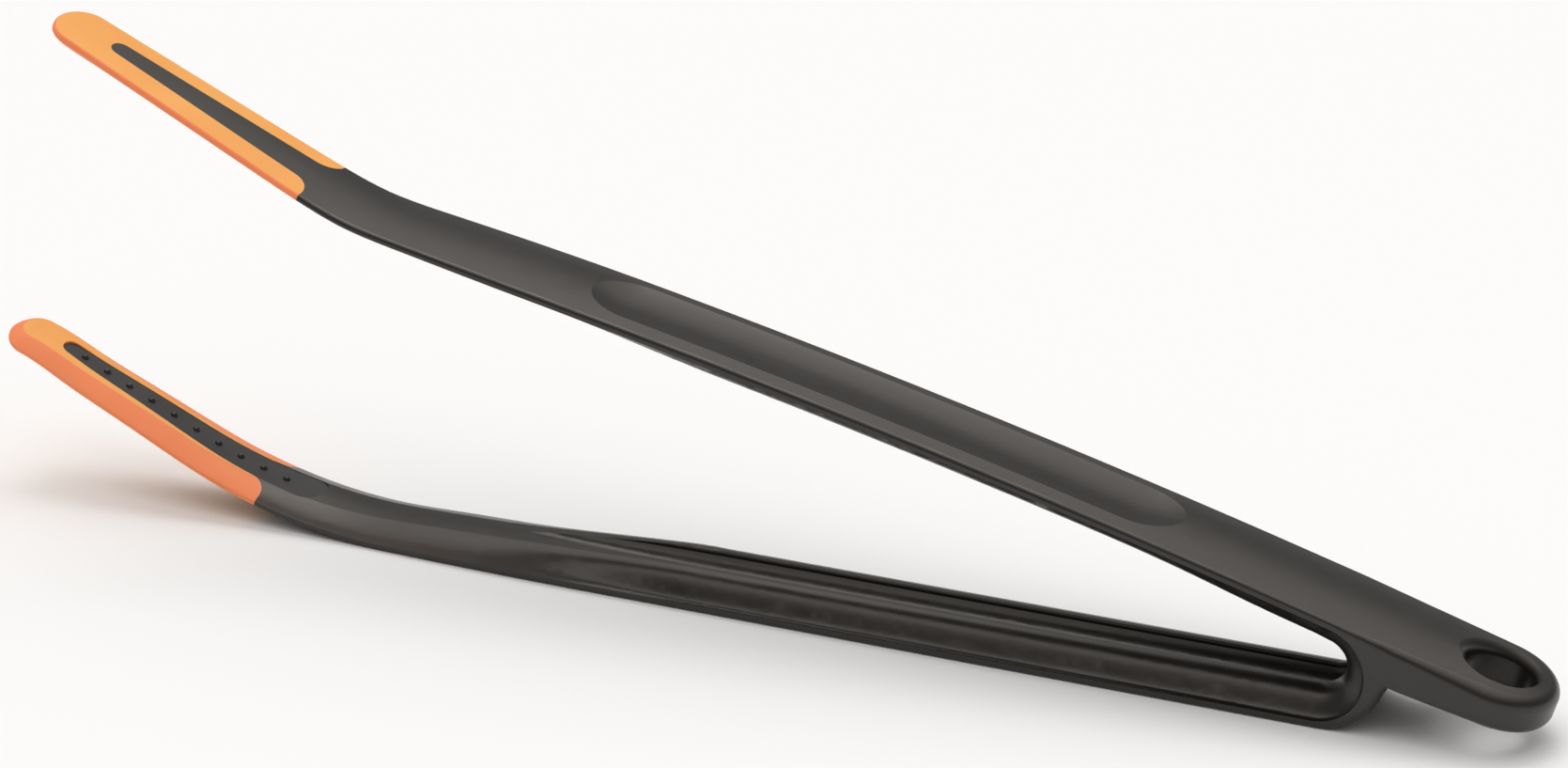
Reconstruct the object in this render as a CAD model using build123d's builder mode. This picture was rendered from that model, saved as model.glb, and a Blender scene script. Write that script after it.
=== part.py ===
"""Spring loaded kitchen tongs: a moulded bow with two sprung arms, silicone tips and nubbed grip strips.

Millimetres. X runs from the noses to the tail, Y across the arms and Z up from the table. The lower arm
lies on the table with its flat outer face, and the origin is the middle of that face between the bow and
the hollow.
"""

import os
from math import ceil, cos, radians, sin, sqrt

from build123d import *

# Bow
BOW_X = 16.4  # centre of the bend, from the middle of the foot
BOW_INNER_RADIUS = 4.3  # inside the bend, at the rims of the channel
BOW_OUTER_RADIUS = 11.5  # round the back of the bow
BOW_SETBACK = 0.8  # how far the back's arc is centred behind the bend
BOW_EDGE_ROUND = 1.5  # along the edges of the back
OPEN_ANGLE = 15.8  # between the two arms at the bow, at rest

# Section of the handle
ARM_WIDTH = 21.4
ARM_DEPTH = 5.9  # from the outer face to the rims, at the bow and along the lower handle
UPPER_DEPTH = 4.75  # the same along the upper handle
THINNING_RUN = 40.0  # over which the upper handle thins out from the bow
LIP_THICKNESS = 1.4  # edge of the outer face
EDGE_ROUND = 0.7
RIM_HALF_WIDTH = 4.9  # to the outside of the rims
CREST_CROWN = 0.2
CROWN_RADIUS = 50.0  # across the upper arm's outer face

# Roundness of the sides, in the handle, the front and the tip: how far the curve follows its ends
FOOT_RUN = (2.5, 2.1, 0.5)
FOOT_RISE = (-0.3, 1.3, 0.6)
RIM_RUN = (4.4, 2.4, 0.8)
RIM_DROP = (0.7, 0.45, 0.35)

# Channel in the inner face
CHANNEL_HALF_WIDTH = 3.6
CHANNEL_DEPTH = 3.0
CHANNEL_BOWL = 2.0  # height of its round floor
CHANNEL_WALL = 0.39  # straight height of the walls above the round floor
CHANNEL_EDGE = 0.5  # rounding of the rims
CHANNEL_POINT = 0.3  # share of its width at the pointed start
CHANNEL_RISE = 0.5  # height of its floor above the arm at the start, where it runs out
CHANNEL_LEAD = 0.5  # run into the bow
BOW_EASE = 0.05  # by which it is larger round the bow
SCOOP_START = 165.0  # where the channel begins, measured from the bow
SCOOP_LENGTH = 49.0  # run over which it reaches its full depth

# Front of the arms
FRONT_DEPTH = 4.2  # rounded stretch between the channel and the tip
FRONT_HALF_CREST = 3.4
FRONT_END = 150.0  # where the arm starts to thin out towards the tip
TAPER_START = 135.0
TAPER_BLEND = 40.0  # run over which the taper sets in
TAPER = 0.075  # loss of width per millimetre

# Course of the arms, along their outer faces from the bow
LOWER_STRAIGHT = 178.0
LOWER_BEND = 47.5
LOWER_BEND_ANGLE = 24.2
LOWER_LENGTH = 269.5
UPPER_ARCH = 183.2
UPPER_ARCH_ANGLE = -5.4
UPPER_BEND = 21.8
UPPER_BEND_ANGLE = 14.7
UPPER_LENGTH = 262.9

# Tips
TIP_DEPTH = 3.1
TIP_HALF_CREST = 4.0
TIP_LIP = 1.1
NOSE_BLUNTNESS = 0.78  # length of the rounded nose, as a share of its half width
TIP_BLEND = 12.0  # run past the root of the tip over which it still thins out
UPPER_SLEEVE_LENGTH = 60.0
LOWER_SLEEVE_LENGTH = 62.0
LOBE_ROUND = 4.0  # rounded end of the silicone beside the tongue
TONGUE_END = 11.9  # from the nose to the end of the tongue
TONGUE_HALF_NOSE = 2.05
TONGUE_HALF_ROOT = 4.0

# Grip strips
STRIP_THICKNESS = 0.9
STRIP_OVERRUN = 9.5  # length beyond the sleeve, on the arm
STRIP_CORNER = 3.2
NUB_COUNT = 10
NUB_PITCH = 5.3
NUB_INSET = 3.9  # from the end of the strip to the first nub
NUB_RADIUS = 0.75
NUB_SINK = 0.1  # centre of the nub below the strip's face

# Thumb hollows in the outer faces
HOLLOW_START = 32.8
HOLLOW_END = 144.4
HOLLOW_HALF_WIDTH = 7.3
HOLLOW_DEPTH = 1.0

# Tail and hanging hole
TAIL_THICKNESS = 7.0
TAIL_EDGE_ROUND = 2.4  # round its end, growing out of the edge of the arm
TAIL_UNDER_ROUND = 2.4  # under its end
TAIL_ROOT = 14.0  # stretch over the bow, where the underside keeps its edges
TAIL_ROOT_ROUND = 0.2
HOLE_DISTANCE = 27.7  # from the bow to the hole, along the tail
HOLE_RADIUS = 6.0
HOLE_WALL_START = 1.5  # straight wall of the hole, below the outer face
HOLE_WALL = 4.0
HOLE_FLARE = 2.6  # rounded mouth in the outer face

# Distance between loft sections, and length by which cutters pass through what they cut
SECTION_STEP = 12.0
THROUGH = 20.0
FULL_ROUND = 0.98  # share of the half width that rounds off the end of a tongue
SMALL = 0.01

BOW_CENTRE = BOW_INNER_RADIUS + ARM_DEPTH  # height above the table
LIP_RADIUS = BOW_CENTRE - LIP_THICKNESS  # lip line round the bow
TAIL_END = HOLE_DISTANCE + ARM_WIDTH / 2


class Spine:
    """Course of an arm's outer face from the bow to the nose, as straight runs and arcs in the XZ plane."""

    def __init__(self, start, rise, runs, inward, crowned, handle_depth):
        self.start = start
        self.rise = rise
        self.runs = runs
        self.inward = inward
        self.crowned = crowned
        self.handle_depth = handle_depth

    def at(self, s):
        """x, z and rise in degrees, at a distance along the arm."""
        x, z = self.start
        rise = self.rise
        left = s
        for number, (length, turn) in enumerate(self.runs):
            last = number == len(self.runs) - 1
            run = left if last or left < length else length
            if turn:
                radius = length / radians(turn)
                ahead = rise + turn * run / length
                x -= radius * (sin(radians(ahead)) - sin(radians(rise)))
                z += radius * (cos(radians(rise)) - cos(radians(ahead)))
                rise = ahead
            else:
                x -= run * cos(radians(rise))
                z += run * sin(radians(rise))
            left -= run
            if left <= 0:
                break
        return x, z, rise

    def even_run(self):
        """Length from the bow over which the arm is straight and its section stays the same."""
        length, turn = self.runs[0]
        return 0.0 if turn else min(length, TAPER_START, FRONT_END, SCOOP_START - SCOOP_LENGTH)

    def normal(self, s):
        """Direction from the outer face into the arm."""
        rise = radians(self.at(s)[2])
        return Vector(self.inward * sin(rise), 0, self.inward * cos(rise))

    def heading(self, s):
        """Direction along the arm, towards the nose."""
        rise = radians(self.at(s)[2])
        return Vector(-cos(rise), 0, sin(rise))

    def point(self, s, depth=0.0):
        """Point on the middle of the arm, at a depth below its outer face."""
        x, z, _ = self.at(s)
        return Vector(x, 0, z) + self.normal(s) * depth

    def across(self, s):
        """Plane square to the arm: its x runs along Y, and its y into the arm."""
        return Plane(origin=self.point(s), x_dir=(0, 1, 0), z_dir=self.heading(s) * -self.inward)

    def flat(self, s):
        """Plane on the outer face: its x runs towards the nose, and its z into the arm."""
        return Plane(origin=self.point(s), x_dir=self.heading(s), z_dir=self.normal(s))

    def offset_line(self, first, last, depth):
        """Lines and arcs of the arm's course at a depth, for the line being drawn in the XZ plane."""
        marks = [0.0]
        for length, _ in self.runs:
            marks.append(marks[-1] + length)
        stops = [first] + [m for m in marks if first < m < last] + [last]
        for a, b in zip(stops, stops[1:]):
            ends = [self.point(s, depth) for s in (a, (a + b) / 2, b)]
            flat_ends = [(p.X, p.Z) for p in ends]
            if abs(self.at(a)[2] - self.at(b)[2]) < 1e-9:
                Line(flat_ends[0], flat_ends[2])
            else:
                ThreePointArc(*flat_ends)


def fade(s, start, end):
    """Smooth step from 0 at start to 1 at end."""
    t = min(max((s - start) / (end - start), 0.0), 1.0)
    return t * t * (3 - 2 * t)


def arm_width(s):
    """Full width of the outer face: even in the handle, then tapering to the nose."""
    u = max(s - TAPER_START, 0.0)
    eased = u * u / (2 * TAPER_BLEND) if u < TAPER_BLEND else u - TAPER_BLEND / 2
    return ARM_WIDTH - TAPER * eased


def blend_sizes(s, root, handle, front, tip):
    """A size that changes from the handle to the rounded front and on to the tip."""
    front_share = fade(s, SCOOP_START - SCOOP_LENGTH, SCOOP_START)
    tip_share = fade(s, FRONT_END, root)
    return (handle + (front - handle) * front_share) * (1 - tip_share) + tip * tip_share


def arm_depth(spine, s, root):
    """Depth from the outer face to the crest of the inner face."""
    handle = ARM_DEPTH + (spine.handle_depth - ARM_DEPTH) * fade(s, 0, THINNING_RUN)
    return blend_sizes(s, root + TIP_BLEND, handle, FRONT_DEPTH, TIP_DEPTH)


def outer_height(spine, s, y):
    """Height of the crowned outer face above its edges, at a distance from the middle."""
    if not spine.crowned:
        return 0.0
    edge = arm_width(s) / 2 - EDGE_ROUND
    return sqrt(CROWN_RADIUS**2 - y**2) - sqrt(CROWN_RADIUS**2 - edge**2)


def half_outline(spine, s, root):
    """Draws the right half of an arm's section, from the outer face's edge to the corner of the crest."""
    half = arm_width(s) / 2
    lip = LIP_THICKNESS + (TIP_LIP - LIP_THICKNESS) * fade(s, FRONT_END, root)
    crest = blend_sizes(s, root, RIM_HALF_WIDTH, FRONT_HALF_CREST, TIP_HALF_CREST)
    depth = arm_depth(spine, s, root)
    foot = (half - blend_sizes(s, root, *FOOT_RUN), lip + blend_sizes(s, root, *FOOT_RISE))
    rim = (crest + blend_sizes(s, root, *RIM_RUN), depth - blend_sizes(s, root, *RIM_DROP))
    corner = EDGE_ROUND * (1 - sqrt(0.5))
    ThreePointArc((half - EDGE_ROUND, 0), (half - corner, corner), (half, EDGE_ROUND))
    Line((half, EDGE_ROUND), (half, lip))
    Bezier((half, lip), foot, rim, (crest, depth))
    return half - EDGE_ROUND, crest, depth


def section(spine, s, root):
    """Closed section of an arm, square to its course."""
    with BuildSketch(spine.across(s)) as sketch:
        with BuildLine():
            edge, crest, depth = half_outline(spine, s, root)
            mirror(about=Plane.YZ)
            if spine.crowned:
                ThreePointArc((-edge, 0), (0, -outer_height(spine, s, 0)), (edge, 0))
            else:
                Line((-edge, 0), (edge, 0))
            ThreePointArc((-crest, depth), (0, depth + CREST_CROWN), (crest, depth))
        make_face()
    return sketch.sketch


def half_section(spine, s, root):
    """Right half of a section, closed along the middle of the arm, to turn into the rounded nose."""
    with BuildSketch(Plane(origin=(0, 0, 0), x_dir=(0, 1, 0), z_dir=(spine.inward, 0, 0))) as sketch:
        with BuildLine():
            edge, crest, depth = half_outline(spine, s, root)
            top = outer_height(spine, s, 0)
            if spine.crowned:
                TangentArc((0, -top), (edge, 0), tangent=(1, 0))
            else:
                Line((0, 0), (edge, 0))
            TangentArc((0, depth + CREST_CROWN), (crest, depth), tangent=(1, 0))
            Line((0, depth + CREST_CROWN), (0, -top))
        make_face()
    return sketch.sketch


def stations(first, last):
    """Evenly spaced distances along an arm, about one section step apart."""
    count = ceil((last - first) / SECTION_STEP)
    return [first + (last - first) * i / count for i in range(count + 1)]


def arm_form(spine, length, root):
    """Whole arm from the bow to its blunt nose, tongue and sleeve in one."""
    untapered = ARM_WIDTH + TAPER * (TAPER_START + TAPER_BLEND / 2)
    nose = (length - NOSE_BLUNTNESS * untapered / 2) / (1 - NOSE_BLUNTNESS * TAPER / 2)
    with BuildPart() as cap:
        revolve(half_section(spine, nose, root), axis=Axis.Z, revolution_arc=180)
        scale(by=(NOSE_BLUNTNESS, 1, 1))
    upward = spine.normal(nose) * spine.inward
    even = spine.even_run()
    with BuildPart() as form:
        if even:
            extrude(section(spine, 0, root), amount=even, dir=spine.heading(0))
        loft(sections=[section(spine, s, root) for s in stations(even, nose)])
        with Locations(Plane(origin=spine.point(nose), x_dir=spine.heading(nose) * -1, z_dir=upward)):
            add(cap.part)
    return form


def channel_section(spine, s, root, ease=0.0):
    """Section of the channel: straight walls below the rims and a round floor that rises out at the start."""
    share = 1 - fade(s, SCOOP_START - SCOOP_LENGTH, SCOOP_START)
    spread = CHANNEL_POINT + (1 - CHANNEL_POINT) * share
    half = CHANNEL_HALF_WIDTH * spread + ease
    rim = arm_depth(spine, s, root) + CREST_CROWN
    floor = rim + CHANNEL_RISE * (1 - share) - CHANNEL_DEPTH * share - ease
    wall = floor + CHANNEL_BOWL * spread
    edge = wall + CHANNEL_WALL * spread
    rounding = CHANNEL_EDGE * spread
    above = rim + BOW_INNER_RADIUS / 2
    with BuildSketch(spine.across(s)) as sketch:
        with BuildLine():
            Line((half, wall), (half, edge))
            TangentArc((half, edge), (half + rounding, edge + rounding), tangent=(0, 1))
            Polyline((half + rounding, edge + rounding), (half + rounding, above), (0, above))
            mirror(about=Plane.YZ)
            ThreePointArc((-half, wall), (0, floor), (half, wall))
        make_face()
    return sketch.sketch


def channel(spine, root):
    """Channel along the inner face of an arm, from a little inside the bow to its pointed start."""
    with BuildPart() as cut:
        loft(sections=[channel_section(spine, s, root) for s in stations(-CHANNEL_LEAD, SCOOP_START)])
    return cut


def hollow(spine):
    """Tools for the long shallow thumb hollow in an outer face: a bar along the arm and its round ends."""
    radius = (HOLLOW_HALF_WIDTH**2 + HOLLOW_DEPTH**2) / (2 * HOLLOW_DEPTH)
    near = HOLLOW_START + HOLLOW_HALF_WIDTH
    far = HOLLOW_END - HOLLOW_HALF_WIDTH
    depth = HOLLOW_DEPTH - outer_height(spine, near, HOLLOW_HALF_WIDTH) - radius
    with BuildPart() as bar:
        with BuildLine(Plane.XZ) as course:
            spine.offset_line(near, far, depth)
        with BuildSketch(Plane(origin=course.line @ 0, z_dir=course.line % 0)):
            Circle(radius)
        sweep()
    with BuildPart() as near_end:
        with Locations(spine.point(near, depth)):
            Sphere(radius)
    with BuildPart() as far_end:
        with Locations(spine.point(far, depth)):
            Sphere(radius)
    return bar, near_end, far_end


def tongue_corners(start, end):
    """Corners of the tapered tongue in the plane of the tip, from a start beside its root to its end."""
    slope = (TONGUE_HALF_NOSE - TONGUE_HALF_ROOT) / end
    wide = TONGUE_HALF_ROOT + slope * start
    return [(start, wide), (end, TONGUE_HALF_NOSE), (end, -TONGUE_HALF_NOSE), (start, -wide)]


def sleeve_space(spine, length, sleeve_length):
    """Space of the silicone: everything past the root of the tip, round the tongue."""
    root = length - sleeve_length
    tongue = sleeve_length - TONGUE_END
    with BuildPart() as space:
        with BuildSketch(spine.flat(root)) as plan:
            with Locations(((sleeve_length + THROUGH) / 2, 0)):
                Rectangle(sleeve_length + THROUGH, 2 * ARM_WIDTH)
            with BuildLine():
                Polyline(*tongue_corners(0, tongue), close=True)
            make_face(mode=Mode.SUBTRACT)
            inner = plan.vertices().filter_by_position(Axis.Y, -ARM_WIDTH / 2, ARM_WIDTH / 2)
            fillet(inner.group_by(Axis.X)[0], LOBE_ROUND)
            ends = plan.vertices().filter_by_position(Axis.X, tongue - SMALL, tongue + SMALL)
            fillet(ends, TONGUE_HALF_NOSE * FULL_ROUND)
        extrude(amount=THROUGH, both=True)
    return space


def layer(spine, first, last, low, high):
    """Slab between two depths below the outer face, following the arm."""
    with BuildPart() as slab:
        with BuildSketch(Plane.XZ):
            with BuildLine():
                spine.offset_line(first, last, low)
                spine.offset_line(first, last, high)
                for s in (first, last):
                    ends = [spine.point(s, depth) for depth in (low, high)]
                    Line(*[(end.X, end.Z) for end in ends])
            make_face()
        extrude(amount=ARM_WIDTH, both=True)
    return slab


def strip_space(spine, length, sleeve_length, high):
    """Room of a grip strip, from its seat in the tongue up to a given depth."""
    root = length - sleeve_length
    slab = layer(spine, root - 2 * STRIP_OVERRUN, length, TIP_DEPTH - STRIP_THICKNESS, high)
    with BuildPart() as space:
        with BuildSketch(spine.flat(root)) as plan:
            with BuildLine():
                Polyline(*tongue_corners(-STRIP_OVERRUN, sleeve_length - TONGUE_END), close=True)
            make_face()
            fillet(plan.vertices().group_by(Axis.X)[0], STRIP_CORNER)
            fillet(plan.vertices().group_by(Axis.X)[-1], TONGUE_HALF_NOSE * FULL_ROUND)
        extrude(amount=THROUGH, both=True)
        add(slab.part, mode=Mode.INTERSECT)
    return space


def tail_half(edge_round, under_round):
    """Draws the right half of the tail's section, from the edge of its outer face to its underside."""
    half = ARM_WIDTH / 2
    rise = outer_height(upper, 0, half - edge_round)
    corner = edge_round * (1 - sqrt(0.5))
    ThreePointArc((half - edge_round, -rise), (half - corner, corner - rise), (half, edge_round - rise))
    Line((half, edge_round - rise), (half, TAIL_THICKNESS - under_round))
    under = (half - under_round, TAIL_THICKNESS)
    TangentArc((half, TAIL_THICKNESS - under_round), under, tangent=(0, 1))
    return (half - edge_round, -rise), under


def tail_section(distance, under_round):
    """Closed section of the tail, at a distance behind the bow."""
    edge_round = EDGE_ROUND + (TAIL_EDGE_ROUND - EDGE_ROUND) * distance / HOLE_DISTANCE
    with BuildSketch(upper.across(0).offset(-distance)) as sketch:
        with BuildLine():
            edge, under = tail_half(edge_round, under_round)
            mirror(about=Plane.YZ)
            ThreePointArc((-edge[0], edge[1]), (0, -outer_height(upper, 0, 0)), edge)
            Line((-under[0], under[1]), under)
        make_face()
    return sketch.sketch


def tail_end_section():
    """Right half of the tail's section at the hole, to turn into its round end."""
    with BuildSketch(upper.across(0).offset(-HOLE_DISTANCE)) as sketch:
        with BuildLine():
            edge, under = tail_half(TAIL_EDGE_ROUND, TAIL_UNDER_ROUND)
            top = -outer_height(upper, 0, 0)
            TangentArc((0, top), edge, tangent=(1, 0))
            Polyline(under, (0, TAIL_THICKNESS), (0, top))
        make_face()
    return sketch.sketch


# Courses of the two arms
lower = Spine(
    start=(BOW_X, 0.0),
    rise=0.0,
    runs=[(LOWER_STRAIGHT, 0), (LOWER_BEND, LOWER_BEND_ANGLE), (LOWER_LENGTH, 0)],
    inward=1,
    crowned=False,
    handle_depth=ARM_DEPTH,
)
upper = Spine(
    start=(BOW_X + BOW_CENTRE * sin(radians(OPEN_ANGLE)), BOW_CENTRE * (1 + cos(radians(OPEN_ANGLE)))),
    rise=OPEN_ANGLE,
    runs=[(UPPER_ARCH, UPPER_ARCH_ANGLE), (UPPER_BEND, UPPER_BEND_ANGLE), (UPPER_LENGTH, 0)],
    inward=-1,
    crowned=True,
    handle_depth=UPPER_DEPTH,
)
lower_root = LOWER_LENGTH - LOWER_SLEEVE_LENGTH
upper_root = UPPER_LENGTH - UPPER_SLEEVE_LENGTH

# Whole arms, the space of the silicone on them and the seats of the strips, open to the inside of the tongs
lower_form = arm_form(lower, LOWER_LENGTH, lower_root)
upper_form = arm_form(upper, UPPER_LENGTH, upper_root)
lower_silicone = sleeve_space(lower, LOWER_LENGTH, LOWER_SLEEVE_LENGTH)
upper_silicone = sleeve_space(upper, UPPER_LENGTH, UPPER_SLEEVE_LENGTH)
lower_seat = strip_space(lower, LOWER_LENGTH, LOWER_SLEEVE_LENGTH, TIP_DEPTH + ARM_DEPTH)
upper_seat = strip_space(upper, UPPER_LENGTH, UPPER_SLEEVE_LENGTH, TIP_DEPTH + ARM_DEPTH)

# Everything above the tail's underside, where the bow runs into the upper arm
tail_face = Plane(origin=upper.point(0), x_dir=upper.heading(0) * -1, z_dir=upper.normal(0) * -1)
with BuildPart() as tail_space:
    with BuildSketch(tail_face.offset(-TAIL_THICKNESS)):
        Rectangle(4 * TAIL_END, 2 * ARM_WIDTH)
    extrude(amount=2 * TAIL_THICKNESS)

# Ring of the arm's own section round the bend, with its channel
bow_axis = Axis((BOW_X, 0, BOW_CENTRE), (0, -1, 0))
with BuildPart() as ring:
    revolve(section(lower, 0, lower_root), axis=bow_axis, revolution_arc=180 - OPEN_ANGLE)
    revolve(
        channel_section(lower, 0, lower_root, BOW_EASE),
        axis=bow_axis,
        revolution_arc=180 - OPEN_ANGLE,
        mode=Mode.SUBTRACT,
    )

# Thicker back of the bow, outside the lip line
with BuildPart() as back:
    with Locations(Plane(origin=(BOW_X + BOW_SETBACK, 0, BOW_OUTER_RADIUS), z_dir=(0, 1, 0))):
        Cylinder(BOW_OUTER_RADIUS, ARM_WIDTH)
    fillet(back.edges().filter_by(GeomType.CIRCLE), BOW_EDGE_ROUND)
    with Locations(Plane(origin=(BOW_X, 0, BOW_CENTRE), z_dir=(0, 1, 0))):
        Cylinder(LIP_RADIUS, 2 * ARM_WIDTH, mode=Mode.SUBTRACT)
    split(bisect_by=Plane.YZ.offset(BOW_X), keep=Keep.TOP)

with BuildPart() as spring_bow:
    add(ring.part)
    add(back.part)
    add(tail_space.part, mode=Mode.SUBTRACT)

# Tail: a plate crowned like the arm, with a softly rounded end about the hole
hole_axis = Axis(tail_face.from_local_coords((HOLE_DISTANCE, 0, 0)), tail_face.z_dir)
with BuildPart() as tail:
    rounds = [(0, TAIL_ROOT_ROUND), (TAIL_ROOT, TAIL_ROOT_ROUND), (HOLE_DISTANCE, TAIL_UNDER_ROUND)]
    loft(sections=[tail_section(distance, under) for distance, under in rounds], ruled=True)
    revolve(tail_end_section(), axis=hole_axis, revolution_arc=-180)
    with Locations(Plane(origin=(BOW_X, 0, BOW_CENTRE), z_dir=(0, 1, 0))):
        Cylinder(LIP_RADIUS, 2 * ARM_WIDTH, mode=Mode.SUBTRACT)

# Hanging hole: straight wall with a rounded mouth at both ends
with BuildPart() as hole:
    with BuildSketch(Plane(origin=tail_face.origin, x_dir=tail_face.x_dir, z_dir=(0, -1, 0))):
        with BuildLine():
            wall_top = (HOLE_DISTANCE + HOLE_RADIUS, -HOLE_WALL_START)
            wall_end = (HOLE_DISTANCE + HOLE_RADIUS, -HOLE_WALL_START - HOLE_WALL)
            mouth = TAIL_THICKNESS - HOLE_WALL_START - HOLE_WALL
            top = TangentArc(wall_top, (wall_top[0] + HOLE_FLARE, wall_top[1] + HOLE_FLARE), tangent=(0, 1))
            Line(wall_top, wall_end)
            end = TangentArc(wall_end, (wall_end[0] + mouth, wall_end[1] - mouth), tangent=(0, -1))
            above = [((top @ 1).X, THROUGH), (HOLE_DISTANCE, THROUGH)]
            Polyline(top @ 1, *above, (HOLE_DISTANCE, (end @ 1).Y), end @ 1)
        make_face()
    revolve(axis=hole_axis)

# Part of the upper arm over the bow
with BuildPart() as over_bow:
    add(ring.part)
    add(tail_space.part, mode=Mode.INTERSECT)
    add(tail.part)
    add(hole.part, mode=Mode.SUBTRACT)

# Arms: the lower one ends at the bow, the upper one runs on over the bow into the tail
with BuildPart() as lower_arm:
    add(lower_form.part)
    add(channel(lower, lower_root).part, mode=Mode.SUBTRACT)
    for tool in hollow(lower):
        add(tool.part, mode=Mode.SUBTRACT)
    add(lower_silicone.part, mode=Mode.SUBTRACT)
    add(lower_seat.part, mode=Mode.SUBTRACT)

with BuildPart() as upper_arm:
    add(upper_form.part)
    add(channel(upper, upper_root).part, mode=Mode.SUBTRACT)
    for tool in hollow(upper):
        add(tool.part, mode=Mode.SUBTRACT)
    add(upper_silicone.part, mode=Mode.SUBTRACT)
    add(upper_seat.part, mode=Mode.SUBTRACT)
    add(over_bow.part)

# Silicone round the tongues
with BuildPart() as lower_tip_sleeve:
    add(lower_form.part)
    add(lower_silicone.part, mode=Mode.INTERSECT)

with BuildPart() as upper_tip_sleeve:
    add(upper_form.part)
    add(upper_silicone.part, mode=Mode.INTERSECT)

# Grip strips with their rows of round nubs
nub_places = [TONGUE_END + NUB_INSET + i * NUB_PITCH for i in range(NUB_COUNT)]

with BuildPart() as lower_grip_strip:
    add(strip_space(lower, LOWER_LENGTH, LOWER_SLEEVE_LENGTH, TIP_DEPTH).part)
    with Locations(*[lower.flat(LOWER_LENGTH - place).offset(TIP_DEPTH - NUB_SINK) for place in nub_places]):
        Sphere(NUB_RADIUS)

with BuildPart() as upper_grip_strip:
    add(strip_space(upper, UPPER_LENGTH, UPPER_SLEEVE_LENGTH, TIP_DEPTH).part)
    with Locations(*[upper.flat(UPPER_LENGTH - place).offset(TIP_DEPTH - NUB_SINK) for place in nub_places]):
        Sphere(NUB_RADIUS)

spring_bow.part.label = "spring_bow"
lower_arm.part.label = "lower_arm"
upper_arm.part.label = "upper_arm"
lower_tip_sleeve.part.label = "lower_tip_sleeve"
upper_tip_sleeve.part.label = "upper_tip_sleeve"
lower_grip_strip.part.label = "lower_grip_strip"
upper_grip_strip.part.label = "upper_grip_strip"

os.makedirs("parts", exist_ok=True)
export_step(spring_bow.part, "parts/spring_bow.step")
export_step(lower_arm.part, "parts/lower_arm.step")
export_step(upper_arm.part, "parts/upper_arm.step")
export_step(lower_tip_sleeve.part, "parts/lower_tip_sleeve.step")
export_step(upper_tip_sleeve.part, "parts/upper_tip_sleeve.step")
export_step(lower_grip_strip.part, "parts/lower_grip_strip.step")
export_step(upper_grip_strip.part, "parts/upper_grip_strip.step")
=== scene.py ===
"""Spring loaded kitchen tongs: finishes, the sprung bow, the studio and the camera."""

import logging
import math
from dataclasses import dataclass
from enum import Enum
from functools import partial
from typing import Any, Callable, ClassVar, Mapping, Optional, Sequence, Union

import bpy
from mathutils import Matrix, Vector


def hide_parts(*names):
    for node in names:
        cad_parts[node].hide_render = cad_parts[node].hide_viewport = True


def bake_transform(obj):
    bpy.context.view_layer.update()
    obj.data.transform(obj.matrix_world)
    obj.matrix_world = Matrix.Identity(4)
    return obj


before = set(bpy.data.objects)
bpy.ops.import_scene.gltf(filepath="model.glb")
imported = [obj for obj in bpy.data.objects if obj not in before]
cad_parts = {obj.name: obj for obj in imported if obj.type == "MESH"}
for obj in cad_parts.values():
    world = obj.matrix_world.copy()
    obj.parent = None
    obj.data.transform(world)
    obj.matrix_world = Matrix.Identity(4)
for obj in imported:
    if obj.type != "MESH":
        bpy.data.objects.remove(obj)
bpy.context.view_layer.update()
MM = 0.001
RIGHT_ANGLE = math.pi / 2

log = logging.getLogger("tongs")

Colour = tuple[float, float, float]
Point = tuple[float, float, float]
Place = tuple[float, float]
Span = tuple[float, float]
Line = Callable[[float], Place]


class Body(Enum):
    """Bodies of the tongs."""

    LOWER = "lower"
    UPPER = "upper"


class Slot(Enum):
    """Material slots of the record."""

    NYLON = "handle_nylon"
    SILICONE = "tip_silicone"
    STRIP = "strip_rubber"


Materials = Mapping[Slot, bpy.types.Material]


class Field:
    """A shader value that varies over a surface, written as ordinary arithmetic."""

    def __init__(self, shader: "Shader", socket: Optional[bpy.types.NodeSocket]) -> None:
        """Wraps one output socket of a shader's tree, or None for a node that has no output."""
        self.shader = shader
        self.socket = socket

    def _math(self, operation: str, first: "Value", second: "Value") -> "Field":
        """Adds one Math node to the tree."""
        return self.shader.node("Math", {"operation": operation}, {0: first, 1: second})

    def __add__(self, other: "Value") -> "Field":
        """Sum."""
        return self._math("ADD", self, other)

    def __radd__(self, other: "Value") -> "Field":
        """Sum with a number on the left."""
        return self._math("ADD", other, self)

    def __sub__(self, other: "Value") -> "Field":
        """Difference."""
        return self._math("SUBTRACT", self, other)

    def __rsub__(self, other: "Value") -> "Field":
        """Difference from a number on the left."""
        return self._math("SUBTRACT", other, self)

    def __mul__(self, other: "Value") -> "Field":
        """Product."""
        return self._math("MULTIPLY", self, other)

    def __rmul__(self, other: "Value") -> "Field":
        """Product with a number on the left."""
        return self._math("MULTIPLY", other, self)

    def step(self, low: float, high: float) -> "Field":
        """Smooth rise.

        Args:
            low: value where it leaves 0.
            high: value where it reaches 1.

        Returns:
            The risen value.
        """
        settings = {"interpolation_type": "SMOOTHSTEP"}
        inputs = {"Value": self, "From Min": low, "From Max": high}
        return self.shader.node("MapRange", settings, inputs)


Value = Union[Field, float, int, tuple]


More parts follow.
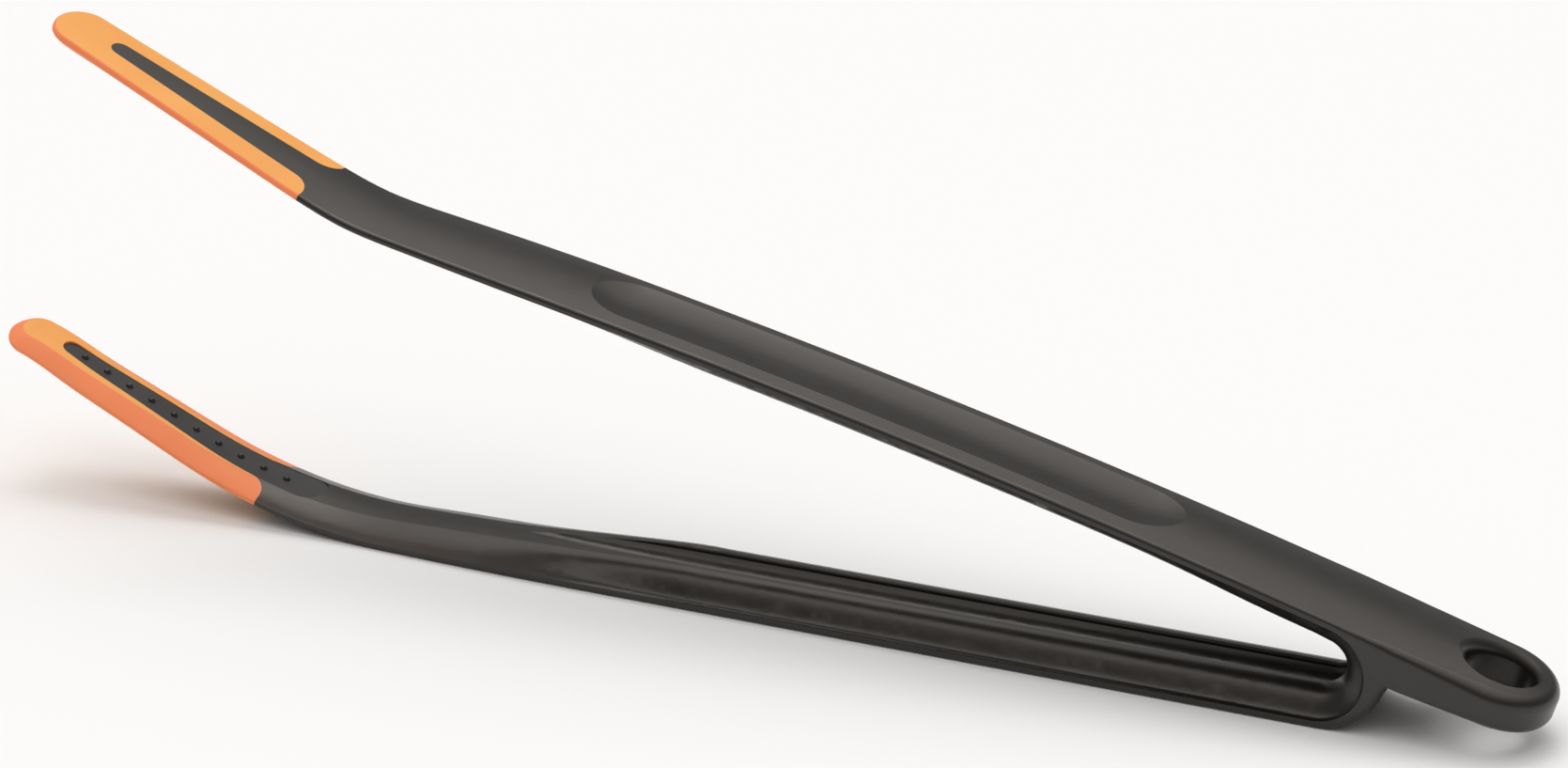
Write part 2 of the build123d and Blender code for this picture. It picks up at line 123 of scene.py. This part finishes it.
class Shader:
    """Node tree of one material or of the world, with one way to add a node."""

    MIX_COLOUR = {"data_type": "RGBA"}
    MIX_A, MIX_B, MIX_RESULT = 6, 7, 2
    NOISE_ROUGHNESS = 0.55

    def __init__(self, tree: bpy.types.NodeTree) -> None:
        """Clears the tree."""
        self.tree = tree
        tree.nodes.clear()

    def node(
        self,
        kind: str,
        settings: Optional[Mapping[str, Any]] = None,
        inputs: Optional[Mapping[Union[str, int], Value]] = None,
        output: Union[str, int] = 0,
    ) -> Field:
        """Adds a node.

        Args:
            kind: type of the node, without its ShaderNode prefix.
            settings: attributes that are set first.
            inputs: values or links of its sockets, by name or number.
            output: the socket that is returned, by name or number.

        Returns:
            The node's output.
        """
        made = self.tree.nodes.new("ShaderNode" + kind)
        for name, setting in (settings or {}).items():
            setattr(made, name, setting)
        for key, value in (inputs or {}).items():
            if isinstance(value, Field):
                self.tree.links.new(value.socket, made.inputs[key])
            elif isinstance(value, tuple) and made.inputs[key].type == "RGBA":
                made.inputs[key].default_value = (*value, 1.0)
            else:
                made.inputs[key].default_value = value
        return Field(self, made.outputs[output] if len(made.outputs) else None)

    def mix(self, share: Field, first: Value, second: Value) -> Field:
        """Mixes two colours.

        Args:
            share: how much of the second colour shows.
            first: colour where the share is 0.
            second: colour where the share is 1.

        Returns:
            The mixed colour.
        """
        inputs = {0: share, self.MIX_A: first, self.MIX_B: second}
        return self.node("Mix", self.MIX_COLOUR, inputs, self.MIX_RESULT)

    def noise(self, place: Field, size: float, detail: float = 2.0) -> Field:
        """Cloudy noise.

        Args:
            place: coordinates in metres.
            size: size of its patches, in metres.
            detail: octaves.

        Returns:
            Noise about one half.
        """
        inputs = {
            "Vector": place,
            "Scale": 1 / size,
            "Detail": detail,
            "Roughness": self.NOISE_ROUGHNESS,
        }
        return self.node("TexNoise", None, inputs, "Fac")

    def surface(self, shading: Field) -> None:
        """Links the finished shading to the output."""
        self.node("OutputMaterial", None, {"Surface": shading})


@dataclass(frozen=True, kw_only=True)
class Finish:
    """A moulded surface with cloudy colour, cloudy gloss and a fine grain.

    Attributes:
        name: name of the material.
        deep: colour in its darker patches.
        pale: colour in its lighter patches.
        polished: roughness in its shinier patches.
        dull: roughness in its duller patches.
        grain: size of the grain, in metres.
        relief: depth of the grain, in metres.
        patch: size of the patches, in metres.
        specular: strength of its reflections, one half for ordinary plastic.
        sheen: tint of its reflections.
    """

    COLOUR_CLOUD: ClassVar[Span] = (0.3, 0.7)
    GLOSS_CLOUD: ClassVar[Span] = (0.25, 0.75)
    GLOSS_PATCHES: ClassVar[int] = 3  # patches of gloss across one of colour
    GLOSS_DETAIL: ClassVar[float] = 4.0
    GRAIN_DETAIL: ClassVar[float] = 3.0
    GRAIN_STRENGTH: ClassVar[float] = 0.35

    name: str
    deep: Colour
    pale: Colour
    polished: float
    dull: float
    grain: float
    relief: float
    patch: float = 14 * MM
    specular: float = 0.5
    sheen: Colour = (1.0, 1.0, 1.0)

    def colour(self, shader: Shader, place: Field) -> Field:
        """Cloudy colour over the surface."""
        cloud = shader.noise(place, self.patch).step(*self.COLOUR_CLOUD)
        return shader.mix(cloud, self.deep, self.pale)

    def roughness(self, shader: Shader, place: Field) -> Field:
        """Cloudy roughness over the surface."""
        noise = shader.noise(place, self.patch / self.GLOSS_PATCHES, self.GLOSS_DETAIL)
        return self.polished + noise.step(*self.GLOSS_CLOUD) * (self.dull - self.polished)

    def constants(self) -> dict[str, Value]:
        """Values that are the same all over the surface."""
        return {"Specular IOR Level": self.specular, "Specular Tint": self.sheen}

    def material(self) -> bpy.types.Material:
        """Builds the material.

        Returns:
            The material, ready for a slot.
        """
        made = bpy.data.materials.new(self.name)
        made.use_nodes = True
        shader = Shader(made.node_tree)
        place = shader.node("TexCoord", None, None, "Object")
        grain = shader.noise(place, self.grain, self.GRAIN_DETAIL)
        relief = {"Height": grain, "Strength": self.GRAIN_STRENGTH, "Distance": self.relief}
        inputs = {
            "Base Color": self.colour(shader, place),
            "Roughness": self.roughness(shader, place),
            "Normal": shader.node("Bump", None, relief),
            **self.constants(),
        }
        shader.surface(shader.node("BsdfPrincipled", None, inputs))
        made.diffuse_color = (*self.pale, 1.0)
        return made


@dataclass(frozen=True, kw_only=True)
class TipFinish(Finish):
    """A finish that differs between the tips' broad faces and their slopes, with painted light and
    shade.

    Attributes:
        facing: direction that the broad faces of both tips look, or its opposite.
    """

    facing: Point = (0.416, 0.0, 0.909)

    def slope(self, shader: Shader, low: float, high: float) -> Field:
        """Share that is 0 on the broad faces and 1 on the sides.

        Args:
            shader: tree of the material.
            low: squared sine of the slope where the share leaves 0.
            high: squared sine of the slope where it reaches 1.

        Returns:
            The share.
        """
        normal = shader.node("TexCoord", None, None, "Normal")
        dot = {"operation": "DOT_PRODUCT"}
        along = shader.node("VectorMath", dot, {0: normal, 1: self.facing}, "Value")
        return (1 - along * along).step(low, high)


@dataclass(frozen=True, kw_only=True)
class SiliconeFinish(TipFinish):
    """Soft silicone with painted light and shade: paler broad faces and deeper flanks.

    Attributes:
        shaded_flank: colour of the sides, painted shade.
        shade_slopes: squared sines of the slopes between which the painted light turns into
            painted shade.
        glow: share of the light that gets into the silicone.
        glow_tint: how far each colour of it gets, as a share of the depth.
        glow_depth: how far it gets, in metres.
    """

    shaded_flank: Colour
    shade_slopes: Span
    glow: float
    glow_tint: Colour
    glow_depth: float

    def colour(self, shader: Shader, place: Field) -> Field:
        """Painted light on the broad faces and painted shade on the flanks."""
        # painted light and shade: by their slope, the sides get the deeper orange
        side = self.slope(shader, *self.shade_slopes)
        return shader.mix(side, super().colour(shader, place), self.shaded_flank)

    def constants(self) -> dict[str, Value]:
        """A little light gets into the silicone."""
        return {
            **super().constants(),
            "Subsurface Weight": self.glow,
            "Subsurface Radius": self.glow_tint,
            "Subsurface Scale": self.glow_depth,
        }


@dataclass(frozen=True, kw_only=True)
class StripFinish(TipFinish):
    """Matt rubber with shiny nubs whose slopes are painted dark, as painted shade.

    Attributes:
        nub_shade: painted shade on the slopes of the nubs.
        nub_shading: squared sines of the slopes between which the painted shade sets in.
        nub_polish: squared sines of the slopes between which their shine sets in.
        shine: share of the roughness that is left on them.
    """

    nub_shade: Colour
    nub_shading: Span
    nub_polish: Span
    shine: float

    def colour(self, shader: Shader, place: Field) -> Field:
        """Painted shade on the slopes of the nubs, on a paler strip."""
        # painted shade: the slopes of the nubs get the darker colour
        nubs = self.slope(shader, *self.nub_shading)
        return shader.mix(nubs, super().colour(shader, place), self.nub_shade)

    def roughness(self, shader: Shader, place: Field) -> Field:
        """Matt on the strip's face, shiny on the nubs."""
        nubs = self.slope(shader, *self.nub_polish)
        return super().roughness(shader, place) * (1 - nubs * (1 - self.shine))


FINISHES: Mapping[Slot, Finish] = {
    Slot.NYLON: Finish(
        name="satin_nylon",
        deep=(0.0062, 0.006, 0.0058),
        pale=(0.0082, 0.0079, 0.0076),
        polished=0.29,
        dull=0.335,
        grain=0.35 * MM,
        relief=0.012 * MM,
        specular=0.64,
        sheen=(1.0, 0.95, 0.9),
    ),
    Slot.SILICONE: SiliconeFinish(
        name="orange_silicone",
        # deep and pale: the broad faces, made paler as painted light
        deep=(0.92, 0.39, 0.08),
        pale=(0.95, 0.425, 0.095),
        polished=0.48,
        dull=0.58,
        grain=0.25 * MM,
        relief=0.01 * MM,
        # flank: the deeper orange of the sides, painted shade
        shaded_flank=(0.96, 0.262, 0.09),
        shade_slopes=(0.02, 0.18),
        glow=0.12,
        glow_tint=(1.0, 0.45, 0.2),
        glow_depth=1.2 * MM,
    ),
    Slot.STRIP: StripFinish(
        name="matt_strip_rubber",
        deep=(0.014, 0.0136, 0.0133),
        pale=(0.02, 0.0195, 0.019),
        polished=0.46,
        dull=0.54,
        grain=0.3 * MM,
        relief=0.01 * MM,
        # painted shade on the slopes of the nubs
        nub_shade=(0.004, 0.004, 0.004),
        nub_shading=(0.05, 0.2),
        nub_polish=(0.02, 0.12),
        shine=0.45,
    ),
}


def direction(azimuth: float, elevation: float) -> Vector:
    """Direction from the tongs.

    Args:
        azimuth: degrees round from their front.
        elevation: degrees above the table.

    Returns:
        A vector of length 1.
    """
    turn, rise = math.radians(azimuth), math.radians(elevation)
    level = math.cos(rise)
    return Vector((math.sin(turn) * level, -math.cos(turn) * level, math.sin(rise)))


def curve(ends: Sequence[Place], share: float) -> Place:
    """A place on a cubic curve.

    Args:
        ends: its start, its two handles and its end.
        share: how far along it the place is.

    Returns:
        The place.
    """
    rest = 1 - share
    weights = (rest**3, 3 * share * rest**2, 3 * share * share * rest, share**3)
    first, second = (sum(w * end[k] for w, end in zip(weights, ends)) for k in (0, 1))
    return first, second


def closing(start: float, steps: int) -> list[float]:
    """Angles in even steps from a start down to 0."""
    return [start * (1 - i / steps) for i in range(steps + 1)]


def paint(piece: bpy.types.Object, material: bpy.types.Material) -> None:
    """Puts one material on all of a piece."""
    piece.data.materials.clear()
    piece.data.materials.append(material)


@dataclass
class Arm:
    """One arm with its silicone sleeve and grip strip.

    Attributes:
        body: the body that it moves with.
    """

    PIECES: ClassVar[Mapping[Slot, str]] = {
        Slot.NYLON: "arm",
        Slot.SILICONE: "tip_sleeve",
        Slot.STRIP: "grip_strip",
    }

    body: Body

    def dress(self, materials: Materials) -> None:
        """Gives the arm's pieces their finishes.

        Args:
            materials: the finished material of each slot.
        """
        for slot, piece in self.PIECES.items():
            node = f"{self.body.value}_{piece}"
            paint(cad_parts[node], materials[slot])
            log.info("%s dressed in %s", node, materials[slot].name)


@dataclass
class SpringBow:
    """The bend of the moulding that springs the arms apart, in millimetres and degrees.

    Its section is drawn as radius, from the centre of the bend, and Y.

    Attributes:
        x: centre of the bend along the tongs.
        z: centre of the bend above the table.
        half_width: half the width of the arms.
        edge_round: rounding of the arms' outer edges.
        back_round: rounding of the back's edges.
        back_radius: round the back of the bow.
        back_offset: centre of the back, from the centre of the bend.
        back_ease: turn over which the arm's edges grow into the back's, in radians.
        foot_turn: turn from the lower arm over which the back stays on the table, in radians.
        lip: radius of the lip line.
        lip_pull: handle of the side's curve at the lip line, out and inwards.
        rim: radius of the channel's rims.
        rim_half_width: to the outside of the rims.
        rim_pull: handle of the side's curve at the rim, out and outwards.
        crest: places on the crowned top of the rim, as height above it and Y.
        rim_edge: rounding of the rims towards the channel.
        rim_turn: angle of that rounding.
        channel_half_width: half the width of the channel.
        channel_edge: radius at the top of the channel's walls.
        channel_wall: radius at the foot of the channel's walls.
        channel_floor: radius of the channel's floor.
        tail_lean: angle of the tail.
        tail_gap: from the centre of the bend up to the tail's underside.
        tuck: how far the bow runs into the tail.
        root_fillet: distance from the tail over which the back sweeps out into it.
        root_flare: how far it sweeps out.
        bend_start: from the centre back to where the bending starts, along X and Z; not used.
        bend_end: from the centre on to where it ends, along X and Z; not used.
        crease: angle above which an edge stays sharp.
    """

    ROWS: ClassVar[int] = 60  # steps along the bend
    SIDE_STEPS: ClassVar[int] = 20
    EDGE_STEPS: ClassVar[int] = 8
    RIM_STEPS: ClassVar[int] = 6
    FLOOR_STEPS: ClassVar[int] = 8
    BACK_SHARES: ClassVar[Span] = (0.0, 0.5)  # lines on the flat of the back
    HALVINGS: ClassVar[int] = 40  # to find where a line meets the tail

    x: float = 16.4
    z: float = 10.2
    half_width: float = 10.71
    edge_round: float = 0.7
    back_round: float = 1.5
    back_radius: float = 11.5
    back_offset: Place = (0.8, 1.3)
    back_ease: float = 0.9
    foot_turn: float = 0.08
    lip: float = 8.8
    lip_pull: Place = (0.3, 2.5)
    rim: float = 4.3
    rim_half_width: float = 4.9
    rim_pull: Place = (0.7, 4.4)
    crest: tuple[Place, ...] = ((0.03, 4.5), (0.053, 4.2))
    rim_edge: float = 0.5
    rim_turn: float = 73.0
    channel_half_width: float = 3.6
    channel_edge: float = 4.71
    channel_wall: float = 5.1
    channel_floor: float = 7.1
    tail_lean: float = 15.8
    tail_gap: float = 3.2
    tuck: float = 0.4
    root_fillet: float = 2.4
    root_flare: float = 1.2
    bend_start: float = 2.15
    bend_end: float = 2.96
    crease: float = 38.0

    def tail_angle(self) -> float:
        """Angle round the bend at which the tail's underside is nearest."""
        return RIGHT_ANGLE - math.radians(self.tail_lean)

    def outer(self, angle: float) -> float:
        """Radius of the back of the bow.

        Args:
            angle: angle round the bend, from level.

        Returns:
            The radius, down to the table where the bow still lies on it.
        """
        dx, dz = self.back_offset
        along = dx * math.cos(angle) + dz * math.sin(angle)
        reach = along + math.sqrt(along**2 - dx**2 - dz**2 + self.back_radius**2)
        return max(reach, self.z) if angle < self.foot_turn - RIGHT_ANGLE else reach

    def back(self, angle: float, turn: float) -> Place:
        """A place on the back of the bow.

        Args:
            angle: angle round the bend, from level.
            turn: angle round the rounded edge, 0 on the back and a right angle on the side.

        Returns:
            Radius and Y.
        """
        ease = min((angle + RIGHT_ANGLE) / self.back_ease, 1.0)
        edge = self.edge_round + (self.back_round - self.edge_round) * ease * ease * (3 - 2 * ease)
        radius = self.outer(angle) - edge * (1 - math.cos(turn))
        below = max(self.tail_gap - radius * math.cos(self.tail_angle() - angle), 0.0)
        sweep = max(1 - below / self.root_fillet, 0.0)
        flare = self.root_flare * sweep * sweep
        return radius + flare, self.half_width - edge * (1 - math.sin(turn))

    def flat_back(self, angle: float, share: float) -> Place:
        """A place on the flat of the back, at a share of the way out to its rounded edge."""
        radius, y = self.back(angle, 0.0)
        return radius, y * share

    def side(self) -> list[Place]:
        """Right side of the section below the lip line, over the rim and down into the channel.

        Returns:
            Points of radius and Y.
        """
        lip_out, lip_in = self.lip_pull
        rim_out, rim_in = self.rim_pull
        ends = (
            (self.lip, self.half_width),
            (self.lip + lip_out, self.half_width - lip_in),
            (self.rim + rim_out, self.rim_half_width + rim_in),
            (self.rim, self.rim_half_width),
        )
        points = [curve(ends, i / self.SIDE_STEPS) for i in range(self.SIDE_STEPS + 1)]
        points += [(self.rim - height, y) for height, y in self.crest]
        for turn in closing(math.radians(self.rim_turn), self.RIM_STEPS):
            y = self.channel_half_width + self.rim_edge * (1 - math.cos(turn))
            points.append((self.channel_edge - self.rim_edge * math.sin(turn), y))
        points.append((self.channel_wall, self.channel_half_width))
        drop, half = self.channel_floor - self.channel_wall, self.channel_half_width
        radius = (half**2 + drop**2) / (2 * drop)
        for turn in closing(math.asin(half / radius), self.FLOOR_STEPS)[1:]:
            height = self.channel_floor - radius * (1 - math.cos(turn))
            points.append((height, radius * math.sin(turn)))
        return points

    def lines(self) -> list[Line]:
        """Right half of the section.

        Returns:
            Lines along the bow, from the middle of the back round to the middle of the channel.
        """
        turns = [RIGHT_ANGLE * i / self.EDGE_STEPS for i in range(self.EDGE_STEPS + 1)]
        found: list[Line] = [partial(self.flat_back, share=share) for share in self.BACK_SHARES]
        found += [partial(self.back, turn=turn) for turn in turns]
        return found + [lambda angle, place=place: place for place in self.side()]

    def fibre(self, line: Line, side: int) -> list[Point]:
        """One line of points along the bow.

        Args:
            line: radius and Y at an angle round the bend.
            side: 1 on the right, -1 on the left.

        Returns:
            Points from the lower arm to the tail.
        """
        tail = self.tail_angle()
        low, high = -RIGHT_ANGLE, tail
        for _ in range(self.HALVINGS):
            middle = (low + high) / 2
            inside = line(middle)[0] * math.cos(tail - middle) < self.tail_gap + self.tuck
            low, high = (middle, high) if inside else (low, middle)
        points = []
        for row in range(self.ROWS + 1):
            angle = -RIGHT_ANGLE + (low + RIGHT_ANGLE) * row / self.ROWS
            r, y = line(angle)
            place = (self.x + r * math.cos(angle), side * y, self.z + r * math.sin(angle))
            points.append(tuple(value * MM for value in place))
        return points

    def build(self) -> bpy.types.Object:
        """Makes the bow as one closed mesh.

        Returns:
            The bow, in place of its solid.
        """
        right = self.lines()
        fibres = [self.fibre(line, 1) for line in right]
        fibres += [self.fibre(line, -1) for line in reversed(right[1:-1])]
        count = len(fibres)
        points = [fibre[row] for row in range(self.ROWS + 1) for fibre in fibres]
        faces = []
        for row in range(self.ROWS):
            base, above = row * count, (row + 1) * count
            for i in range(count):
                j = (i + 1) % count
                faces.append((base + i, base + j, above + j, above + i))
        faces.append(tuple(reversed(range(count))))
        faces.append(tuple(range(self.ROWS * count, (self.ROWS + 1) * count)))
        mesh = bpy.data.meshes.new("sprung_bow")
        mesh.from_pydata(points, [], faces)
        mesh.validate()
        mesh.shade_smooth()
        mesh.set_sharp_from_angle(angle=math.radians(self.crease))
        piece = bpy.data.objects.new("sprung_bow", mesh)
        bpy.context.scene.collection.objects.link(piece)
        return piece

    def dress(self, nylon: bpy.types.Material) -> None:
        """Builds the bow, finishes it and hides the bow's solid in its place.

        Args:
            nylon: finish of the moulding.
        """
        piece = self.build()
        paint(piece, nylon)
        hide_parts("spring_bow")
        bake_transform(piece)
        log.info("%s bends between the arms", piece.name)


@dataclass(frozen=True)
class SoftLamp:
    """Soft light from high up, so far away that it falls evenly on the floor.

    Attributes:
        name: name of the lamp.
        azimuth: degrees round from the front of the tongs to the side that it comes from.
        elevation: degrees above the table.
        spread: how large it looks, in degrees.
        strength: its light on a surface that faces it.
        colour: its tint.
    """

    name: str
    azimuth: float
    elevation: float
    spread: float
    strength: float
    colour: Colour = (1.0, 0.985, 0.97)

    def hang(self) -> None:
        """Makes the lamp."""
        lamp = bpy.data.lights.new(self.name, "SUN")
        lamp.energy = self.strength
        lamp.angle = math.radians(self.spread)
        lamp.color = self.colour
        holder = bpy.data.objects.new(self.name, lamp)
        holder.location = direction(self.azimuth, self.elevation)
        holder.rotation_euler = holder.location.to_track_quat("Z", "Y").to_euler()
        bpy.context.scene.collection.objects.link(holder)


@dataclass
class Studio:
    """Pale floor, soft lamps and a warm surround with a bright ceiling and a pale horizon.

    Attributes:
        floor_half: half the side of the floor.
        floor_colour: colour of the floor.
        floor_roughness: roughness of the floor.
        floor_specular: strength of the floor's reflections.
        tint: colour of the surround's light.
        walls: light from the walls.
        ceiling: light from overhead.
        horizon: light from the horizon.
        haze: sine of the height up to which the horizon's light reaches.
        vault: sines of the heights between which the walls turn into the ceiling.
        lamps: the large key and a smaller lamp that gives the nylon its highlights.
    """

    floor_half: float = 6.0
    floor_colour: Colour = (0.94, 0.965, 0.985)
    floor_roughness: float = 0.9
    floor_specular: float = 0.1
    tint: Colour = (1.0, 0.955, 0.915)
    walls: float = 0.26
    ceiling: float = 1.12
    horizon: float = 0.85
    haze: float = 0.08
    vault: Span = (0.4, 0.92)
    lamps: tuple[SoftLamp, ...] = (
        SoftLamp("key", 204.0, 76.0, 90.0, 0.62),
        SoftLamp("glint", 204.0, 70.0, 26.0, 0.4),
    )

    def lay_floor(self) -> None:
        """Makes the floor."""
        side = self.floor_half
        mesh = bpy.data.meshes.new("floor")
        corners = [(-side, -side, 0.0), (side, -side, 0.0), (side, side, 0.0), (-side, side, 0.0)]
        mesh.from_pydata(corners, [], [(0, 1, 2, 3)])
        floor = bpy.data.objects.new("floor", mesh)
        bpy.context.scene.collection.objects.link(floor)
        made = bpy.data.materials.new("floor_paint")
        made.use_nodes = True
        shader = Shader(made.node_tree)
        inputs = {
            "Base Color": self.floor_colour,
            "Roughness": self.floor_roughness,
            "Specular IOR Level": self.floor_specular,
        }
        shader.surface(shader.node("BsdfPrincipled", None, inputs))
        paint(floor, made)

    def surround(self) -> None:
        """Lights the scene from all round."""
        world = bpy.data.worlds.new("surround")
        world.use_nodes = True
        shader = Shader(world.node_tree)
        looking = shader.node("TexCoord", None, None, "Generated")
        height = shader.node("SeparateXYZ", None, {"Vector": looking}, "Z")
        strength = self.horizon + height.step(0.0, self.haze) * (self.walls - self.horizon)
        strength = strength + height.step(*self.vault) * (self.ceiling - self.walls)
        light = shader.node("Background", None, {"Color": self.tint, "Strength": strength})
        shader.node("OutputWorld", None, {"Surface": light})
        bpy.context.scene.world = world

    def build(self) -> None:
        """Sets up the floor, the surround and the lamps."""
        self.lay_floor()
        self.surround()
        for lamp in self.lamps:
            lamp.hang()
        bpy.context.scene.view_settings.view_transform = "Standard"
        log.info("studio ready")


@dataclass
class PhotoCamera:
    """Camera at the photograph's viewing angle.

    Attributes:
        azimuth: degrees round from the front of the tongs.
        elevation: degrees above the table.
        distance: from the point in the middle of the picture.
        target: the point in the middle of the picture.
        image_width: width of the picture, in pixels.
        focal: focal length, in pixels.
        sensor: width of the sensor, in millimetres.
        nearest: distance from which it sees, in metres.
    """

    azimuth: float = 24.07
    elevation: float = 21.36
    distance: float = 0.7268
    target: Point = (-0.08553, 0.0, 0.04221)
    image_width: float = 1669.0
    focal: float = 4382.2
    sensor: float = 36.0
    nearest: float = 0.01

    def build(self) -> None:
        """Makes the camera and puts it to use."""
        back = direction(self.azimuth, self.elevation)
        camera = bpy.data.cameras.new("photo_camera")
        camera.sensor_fit = "HORIZONTAL"
        camera.sensor_width = self.sensor
        camera.lens = self.sensor * self.focal / self.image_width
        camera.clip_start = self.nearest
        holder = bpy.data.objects.new("photo_camera", camera)
        holder.location = Vector(self.target) + back * self.distance
        holder.rotation_euler = (-back).to_track_quat("-Z", "Y").to_euler()
        bpy.context.scene.collection.objects.link(holder)
        bpy.context.scene.camera = holder
        log.info("camera ready")


def main() -> None:
    """Dresses the tongs and sets up the studio and the camera."""
    logging.basicConfig(level=logging.INFO, format="%(message)s")
    materials = {slot: finish.material() for slot, finish in FINISHES.items()}
    for body in Body:
        Arm(body).dress(materials)
    SpringBow().dress(materials[Slot.NYLON])
    Studio().build()
    PhotoCamera().build()


if __name__ == "__main__":
    main()
